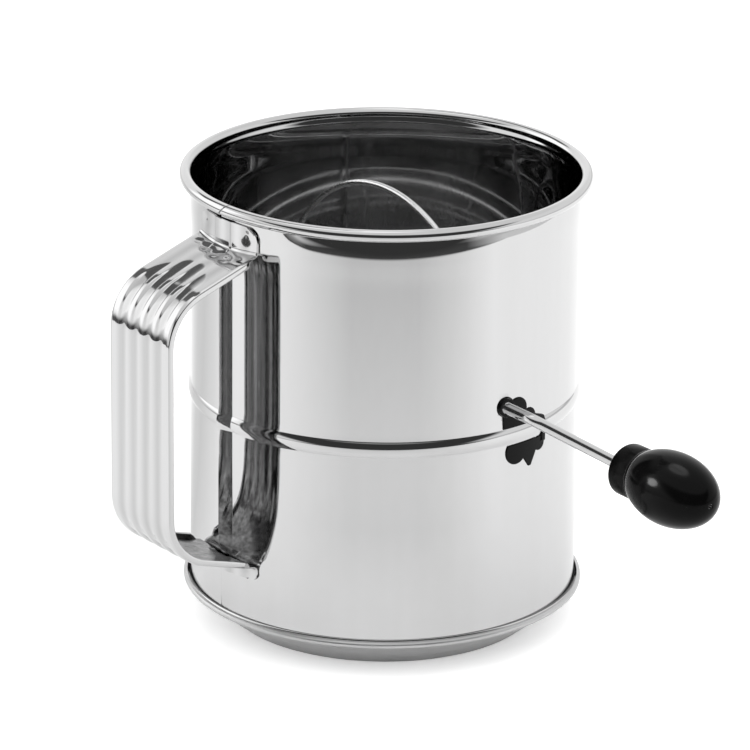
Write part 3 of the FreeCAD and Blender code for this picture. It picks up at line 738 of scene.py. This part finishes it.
def handle_strap():
    """The strap handle: one sheet with hemmed edges and pressed ribs, whose two ends lie on the wall."""
    outside, edge, inside = handle_section()
    across = np.concatenate([outside, edge[:, 0], inside, -edge[::-1, 0]])
    before_inside = len(outside) + len(edge)
    is_inside = np.zeros(len(across))
    is_inside[before_inside:before_inside + len(inside)] = 1
    edge_depth = np.concatenate([np.zeros(len(outside)), edge[:, 1], np.zeros(len(inside)), edge[::-1, 1]])
    paths = np.array([handle_path(x) for x in across]).swapaxes(0, 1)
    steps = np.diff(paths, axis=0)
    steps /= np.linalg.norm(steps, axis=2, keepdims=True)
    ahead = np.concatenate([steps[:1], steps[:-1] + steps[1:], steps[-1:]])
    ahead /= np.linalg.norm(ahead, axis=2, keepdims=True)
    inward = np.stack([ahead[..., 1], -ahead[..., 0]], axis=-1)
    distance, height = paths[..., 0], paths[..., 1]
    on_tab = smooth(distance, TAB_OUTSIDE + 3.0, TAB_OUTSIDE + 0.9)
    hem = 1 - on_tab
    depth = RIB_HEIGHT * valley_depth(across, distance, height) + HANDLE_SHEET * is_inside
    depth = depth + crumple(across, distance, height) * hem
    depth = depth + EDGE_DROP * smooth(np.abs(across), *EDGE_ROUND) * (1 - is_inside) * hem
    depth = depth + edge_depth * hem + np.minimum(edge_depth, HANDLE_SHEET) * (1 - hem)
    welds = weld_dish(across, height, UPPER_WELD_Z) + weld_dish(across, height, LOWER_WELD_Z)
    rise_start, rise_end, fall_start, fall_end = SEAM_BULGE
    bulge = SEAM_BULGE_HEIGHT * smooth(across, rise_start, rise_end) * smooth(across, fall_end, fall_start)
    depth = depth + (welds - bulge) * on_tab
    narrow = 1 - (1 - TAB_HALF_WIDTH / HANDLE_HALF_WIDTH) * on_tab
    point = paths + inward * depth[..., None]
    grid = np.stack([across * narrow, -point[..., 0], point[..., 1]], axis=-1)
    strap = from_grid("handle_strap_sheet", grid, close_columns=True, capped=True, sharp=55)
    place(strap, "can", "polished_steel", HANDLE_STEEL, "handle_strap")
    strap.data.materials.append(STRAP_BACK)
    backs = np.append(is_inside, is_inside[0]).astype(bool)
    back_face = backs[:-1] | backs[1:]
    faces = np.tile(back_face, grid.shape[0] - 1)
    for index, face in enumerate(strap.data.polygons):
        face.material_index = int(index < len(faces) and faces[index])
    return strap


# ---------------------------------------------------------------- crank and agitator

def crank_rod():
    """The bent rod: shaft, slanting arm and spindle."""
    far_end = SHAFT_CENTRE + X_AXIS * SHAFT_FAR_END
    arm_start = SHAFT_CENTRE + X_AXIS * ARM_START
    arm_end = arm_start + ARM_RUN
    tip = arm_end * (0, 1, 1) + X_AXIS * ROD_TIP
    path = filleted_path([far_end, arm_start, arm_end, tip], (ROD_BEND, ROD_BEND), (14, 14), (20, 10, 10))
    side = unit(np.cross(X_AXIS, ARM_RUN))
    grid = tube(*round_ended(path, ROD_RADIUS), side, 32)
    rod = from_grid("crank_rod_bent", grid, close_columns=True, capped=True)
    rod.visible_glossy = False
    return place(rod, "crank", "bright_wire", WIRE_STEEL, "crank_rod")


def agitator_wires():
    """The four half hoops between the hubs."""
    margin = math.asin(HOOP_END / HOOP_RADIUS)
    for name, turn in (("top", 0), ("front", 90), ("bottom", 180), ("back", 270)):
        up = math.cos(math.radians(turn)) * Z_AXIS - math.sin(math.radians(turn)) * Y_AXIS
        angles = np.linspace(margin, math.pi - margin, 90)[:, None]
        path = SHAFT_CENTRE + HOOP_RADIUS * (np.cos(angles) * X_AXIS + np.sin(angles) * up)
        grid = tube(path, HOOP_WIRE_RADIUS, np.cross(X_AXIS, up), 18)
        wire = from_grid("hoop_" + name, grid, close_columns=True, capped=True)
        place(wire, "crank", "bright_wire", HOOP_STEEL, "agitator_wire_" + name)


# ---------------------------------------------------------------- bushings and grip

def bushing(node):
    """A moulded bushing: its CAD shape with softened edges."""
    piece = softened_copy(node, 0.16, 14)
    piece.visible_glossy = False
    return place(piece, "can", "black_moulding", MOULDING, node)


def grip_collar():
    """The neck: rounded at its face, and ending in a slightly wider lip against the knob."""
    end = COLLAR_FACE + COLLAR_LENGTH
    face = [(COLLAR_FACE, BORE_RADIUS), (COLLAR_FACE, BORE_RADIUS + 1)]
    edge = arc((COLLAR_FACE + 1.2, COLLAR_RADIUS - 1.2), 1.2, 180, 90, 8)
    lip_start = end - COLLAR_LIP_LENGTH
    groove = [(lip_start - 0.3, COLLAR_RADIUS), (lip_start, COLLAR_RADIUS - 0.15),
              (lip_start + 0.1, COLLAR_RADIUS)]
    lip = [(lip_start + 0.4, COLLAR_LIP_RADIUS - 0.1), (end - 0.3, COLLAR_LIP_RADIUS),
           (end, COLLAR_LIP_RADIUS - 0.2), (end, BORE_RADIUS)]
    outline = turned_along_x(face + edge + groove + lip, GRIP_CENTRE, 72)
    collar = from_grid("grip_neck", outline, close_rows=True, close_columns=True)
    collar.visible_glossy = False
    return place(collar, "grip", "black_moulding", MOULDING, "grip_collar")


def grip_knob():
    """The egg-shaped knob, with the pocket for its spring ring and the small vent in its tip."""
    start = COLLAR_FACE + COLLAR_LENGTH
    cut_angle = math.degrees(math.acos((start - KNOB_CENTRE) / KNOB_HALF_LENGTH))
    vent_angle = math.degrees(math.asin((KNOB_VENT_RADIUS + KNOB_VENT_EDGE) / KNOB_RADIUS))
    angles = np.radians(np.linspace(cut_angle - 1.5, vent_angle, 60))
    egg = [(KNOB_CENTRE + KNOB_HALF_LENGTH * math.cos(a), KNOB_RADIUS * math.sin(a)) for a in angles]
    shoulder = KNOB_RADIUS * math.sin(math.radians(cut_angle))
    vent_edge = [(egg[-1][0] - 0.1, KNOB_VENT_RADIUS + 0.08), (egg[-1][0] - 0.4, KNOB_VENT_RADIUS)]
    pocket = start + POCKET_DEPTH
    neck_end = [(pocket, BORE_RADIUS), (pocket, POCKET_RADIUS), (start, POCKET_RADIUS),
                (start, shoulder - 0.25)]
    vent = [(KNOB_BORE_END, KNOB_VENT_RADIUS), (KNOB_BORE_END, BORE_RADIUS)]
    grid = turned_along_x(neck_end + egg + vent_edge + vent, GRIP_CENTRE, 96)
    knob = from_grid("grip_egg", grid, close_rows=True, close_columns=True)
    knob.visible_glossy = False
    return place(knob, "grip", "black_gloss", GLOSS, "grip_knob")


def finish_cad_nodes():
    """Materials for the small CAD parts that show as they are."""
    finishes = {"rim_wire": WIRE_STEEL, "rod_end_cap": HUB_STEEL, "hub_crank_side": HUB_STEEL,
                "hub_far_side": HUB_STEEL, "crank_lock_ring": HUB_STEEL, "far_lock_ring": HUB_STEEL,
                "grip_retaining_ring": HUB_STEEL}
    for node, finish in finishes.items():
        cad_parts[node].data.materials.clear()
        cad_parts[node].data.materials.append(finish)
    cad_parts["grip_retaining_ring"].visible_glossy = False


# ---------------------------------------------------------------- studio

def camera():
    """The photo's point of view."""
    data = bpy.data.cameras.new("camera")
    data.lens = CAMERA_LENS
    data.sensor_width = 36.0
    data.clip_end = 50.0
    view = bpy.data.objects.new("camera", data)
    bpy.context.scene.collection.objects.link(view)
    eye = np.array(CAMERA_PLACE)
    ahead = unit(np.array(CAMERA_TARGET) - eye)
    right = unit(np.cross(ahead, Z_AXIS))
    above = np.cross(right, ahead)
    tilted_right = right * math.cos(CAMERA_ROLL) + above * math.sin(CAMERA_ROLL)
    tilted_above = np.cross(tilted_right, ahead)
    columns = np.column_stack([tilted_right, tilted_above, -ahead, eye])
    view.matrix_world = Matrix(np.vstack([columns, (0, 0, 0, 1)]).tolist())
    bpy.context.scene.camera = view


def band(tree, value, low, high, soft):
    """1 where the value lies between low and high, with soft edges."""
    rise = spread(tree, value, 0, 1, low - soft, low + soft)
    fall = spread(tree, value, 1, 0, high - soft, high + soft)
    return calculate(tree, "MULTIPLY", rise, fall)


# The studio as the steel sees it, painted in this order over a dark room. A patch has its bearing from the
# camera (right is positive), half-width, lowest and highest elevation, softness upright and sideways, and
# brightness. A disc has its bearing, elevation, radius, softness and brightness. Angles are in degrees.
STUDIO = (
    ("right and back walls", "patch", 130, 120, 3, 90, 3, 3, 1.05),
    ("left wall", "patch", -90, 100, -3, 90, 3, 3, 1.15),
    ("left key", "patch", -114, 21, 0, 46, 4, 4, 1.7),
    ("dark front", "disc", 0, 48, 62, 4, 0.05),
    ("horizon behind", "patch", 152, 93, -8, 2.5, 2, 12, 0.9),
    ("horizon on the left", "patch", -70, 14, -8, 2.5, 2, 10, 0.9),
    ("ceiling", "patch", 0, 180, 36, 90, 4, 4, 0.95),
    ("overhead", "disc", -130, 76, 17, 4, 1.5),
    ("behind left", "patch", -144, 11.5, 28, 80, 1.5, 1.0, 0.16),
)
ROOM = 0.08
FILL = 1.5
# Two lights for the black pieces alone: bearing, elevation, size and power.
SMALL_LIGHTS = (("window", -90, 20, 0.45, 12.0), ("lamp", -150, 74, 0.8, 6.0))
SMALL_LIGHT_DISTANCE = 1.5
TABLE_GREY = 0.92
LEFT_SHADE = (-148, -111, 13)    # bearings between which the table has painted shade, a little greyer, and softness
LEFT_SHADE_DEPTH = 0.28
FRONT_SHADE = (18, 62)           # bearings between which the greyer part in front fades out
# How much greyer that part is, as painted shade: distances in metres over which it comes in, and depth.
FRONT_SHADE_STEPS = ((0.12, 0.24, 0.2), (0.3, 0.55, 0.15))
FRONT_FADE = (0.62, 0.72)        # distances ahead over which the table darkens towards its edge
FRONT_FADE_LEVEL = 0.15
CAMERA_WHITE = 0.3               # light that only the camera sees on the table, so its shadow stays faint


def toward(bearing, elevation):
    """The direction of a place in the studio."""
    front = math.atan2(CAMERA_PLACE[1], CAMERA_PLACE[0])
    angle = front + math.radians(bearing)
    level = math.cos(math.radians(elevation))
    return level * math.cos(angle), level * math.sin(angle), math.sin(math.radians(elevation))


def along(tree, parts, aim):
    """How far a direction goes along aim."""
    terms = [calculate(tree, "MULTIPLY", parts.outputs[axis], value) for axis, value in zip("XYZ", aim)]
    return calculate(tree, "ADD", calculate(tree, "ADD", terms[0], terms[1]), terms[2])


def patch(tree, parts, bearing, half_width, low, high, soft, side_soft):
    """1 inside an upright patch of the studio's sky."""
    ahead = along(tree, parts, toward(bearing, 0))
    aside = along(tree, parts, toward(bearing + 90, 0))
    away = calculate(tree, "MULTIPLY", calculate(tree, "ARCTAN2", aside, ahead), 180 / math.pi)
    height = calculate(tree, "ARCSINE", parts.outputs["Z"], 0.0)
    height = calculate(tree, "MULTIPLY", height, 180 / math.pi)
    return calculate(tree, "MULTIPLY", band(tree, away, -half_width, half_width, side_soft),
                     band(tree, height, low, high, soft))


def disc(tree, parts, bearing, elevation, radius, soft):
    """1 inside a round patch of the studio's sky."""
    edge = [math.cos(math.radians(radius + soft)), math.cos(math.radians(radius - soft))]
    return spread(tree, along(tree, parts, toward(bearing, elevation)), 0, 1, *edge)


def painted(tree, below, cover, level):
    """A level laid over what is below it wherever cover is 1."""
    bare = calculate(tree, "SUBTRACT", 1.0, cover)
    rest = calculate(tree, "MULTIPLY", below, bare)
    return calculate(tree, "ADD", rest, calculate(tree, "MULTIPLY", cover, level))


def studio_world():
    """White all round for the camera and for soft light; the painted studio in reflections."""
    world = bpy.data.worlds.new("studio")
    world.use_nodes = True
    tree = world.node_tree
    background = tree.nodes["Background"]
    background.inputs["Color"].default_value = (1, 1, 1, 1)
    parts = tree.nodes.new("ShaderNodeSeparateXYZ")
    tree.links.new(tree.nodes.new("ShaderNodeTexCoord").outputs["Generated"], parts.inputs["Vector"])
    shapes = {"patch": patch, "disc": disc}
    total = ROOM
    for name, shape, *extent, brightness in STUDIO:
        total = painted(tree, total, shapes[shape](tree, parts, *extent), brightness)
    ray = tree.nodes.new("ShaderNodeLightPath")
    for socket, level in (("Is Diffuse Ray", FILL), ("Is Camera Ray", 1.0)):
        total = painted(tree, total, ray.outputs[socket], level)
    tree.links.new(total, background.inputs["Strength"])
    bpy.context.scene.world = world


def small_lights(*pieces):
    """Lights that shine on the black pieces alone, so that their gloss shows a window and a lamp."""
    lit = bpy.data.collections.new("lit_by_small_lights")
    for piece in pieces:
        lit.objects.link(piece)
    for name, bearing, elevation, size, power in SMALL_LIGHTS:
        data = bpy.data.lights.new(name, "AREA")
        data.shape = "DISK"
        data.size = size
        data.energy = power
        light = bpy.data.objects.new(name, data)
        bpy.context.scene.collection.objects.link(light)
        aim = np.array(toward(bearing, elevation))
        light.location = (GRIP_CENTRE + X_AXIS * KNOB_CENTRE) * MM + aim * SMALL_LIGHT_DISTANCE
        light.rotation_mode = "QUATERNION"
        light.rotation_quaternion = Vector(aim.tolist()).to_track_quat("Z", "Y")
        light.light_linking.receiver_collection = lit


def floor():
    """A pale table top, square to the view, with painted shade that makes it a little greyer some way in
    front of the sifter.
    """
    forward = np.array(toward(0, 0))
    leftward = np.array(toward(-90, 0))
    back, near_edge, right, left = TABLE
    sides = [leftward * across - Z_AXIS * TABLE_DROP for across in (right, left)]
    grid = np.array([[side + forward * ahead for ahead in (back, near_edge)] for side in sides])
    table = from_grid("table", grid)
    material, tree, shader = new_material("pale_table")
    place_in = tree.nodes.new("ShaderNodeTexCoord").outputs["Object"]
    parts = tree.nodes.new("ShaderNodeSeparateXYZ")
    tree.links.new(place_in, parts.inputs["Vector"])
    front = math.atan2(CAMERA_PLACE[1], CAMERA_PLACE[0])
    ahead = calculate(tree, "ADD", calculate(tree, "MULTIPLY", parts.outputs["X"], math.cos(front)),
                      calculate(tree, "MULTIPLY", parts.outputs["Y"], math.sin(front)))
    aside = calculate(tree, "SUBTRACT", calculate(tree, "MULTIPLY", parts.outputs["Y"], math.cos(front)),
                      calculate(tree, "MULTIPLY", parts.outputs["X"], math.sin(front)))
    bearing = calculate(tree, "MULTIPLY", calculate(tree, "ARCTAN2", aside, ahead), 180 / math.pi)
    in_front = spread(tree, calculate(tree, "ABSOLUTE", bearing, 0.0), 1, 0, *FRONT_SHADE)
    away = calculate(tree, "SQRT", calculate(tree, "ADD", calculate(tree, "MULTIPLY", ahead, ahead),
                                             calculate(tree, "MULTIPLY", aside, aside)), 0.0)
    steps = [calculate(tree, "MULTIPLY", spread(tree, away, 0, 1, start, end), depth)
             for start, end, depth in FRONT_SHADE_STEPS]
    # painted shade: the table's grey is lowered in front of the sifter and on its left
    front_shade = calculate(tree, "MULTIPLY", in_front, calculate(tree, "ADD", *steps))
    left_shade = calculate(tree, "MULTIPLY", band(tree, bearing, *LEFT_SHADE), LEFT_SHADE_DEPTH)
    shade = calculate(tree, "ADD", front_shade, left_shade)
    seen = tree.nodes.new("ShaderNodeLightPath").outputs["Is Camera Ray"]
    fade = spread(tree, ahead, 1.0, FRONT_FADE_LEVEL, *FRONT_FADE)
    level = calculate(tree, "MULTIPLY", calculate(tree, "SUBTRACT", TABLE_GREY, shade),
                      calculate(tree, "MAXIMUM", fade, seen))
    speckle = spread(tree, noise(tree, 40), -0.006, 0.006)
    grey = tree.nodes.new("ShaderNodeCombineColor")
    for channel in grey.inputs:
        tree.links.new(calculate(tree, "ADD", level, speckle), channel)
    tree.links.new(grey.outputs["Color"], shader.inputs["Base Color"])
    shader.inputs["Roughness"].default_value = 1.0
    shader.inputs["Specular IOR Level"].default_value = 0.0
    shader.inputs["Emission Color"].default_value = (1, 1, 1, 1)
    tree.links.new(calculate(tree, "MULTIPLY", seen, CAMERA_WHITE), shader.inputs["Emission Strength"])
    table.data.materials.append(material)


body_shell()
base_ring()
screen_ring()
screen()
handle_strap()
crank_rod()
agitator_wires()
crank_bushing = bushing("crank_bushing")
bushing("far_bushing")
grip_collar()
knob = grip_knob()
finish_cad_nodes()
camera()
studio_world()
small_lights(knob, crank_bushing)
floor()
bpy.context.scene.view_settings.view_transform = "Standard"
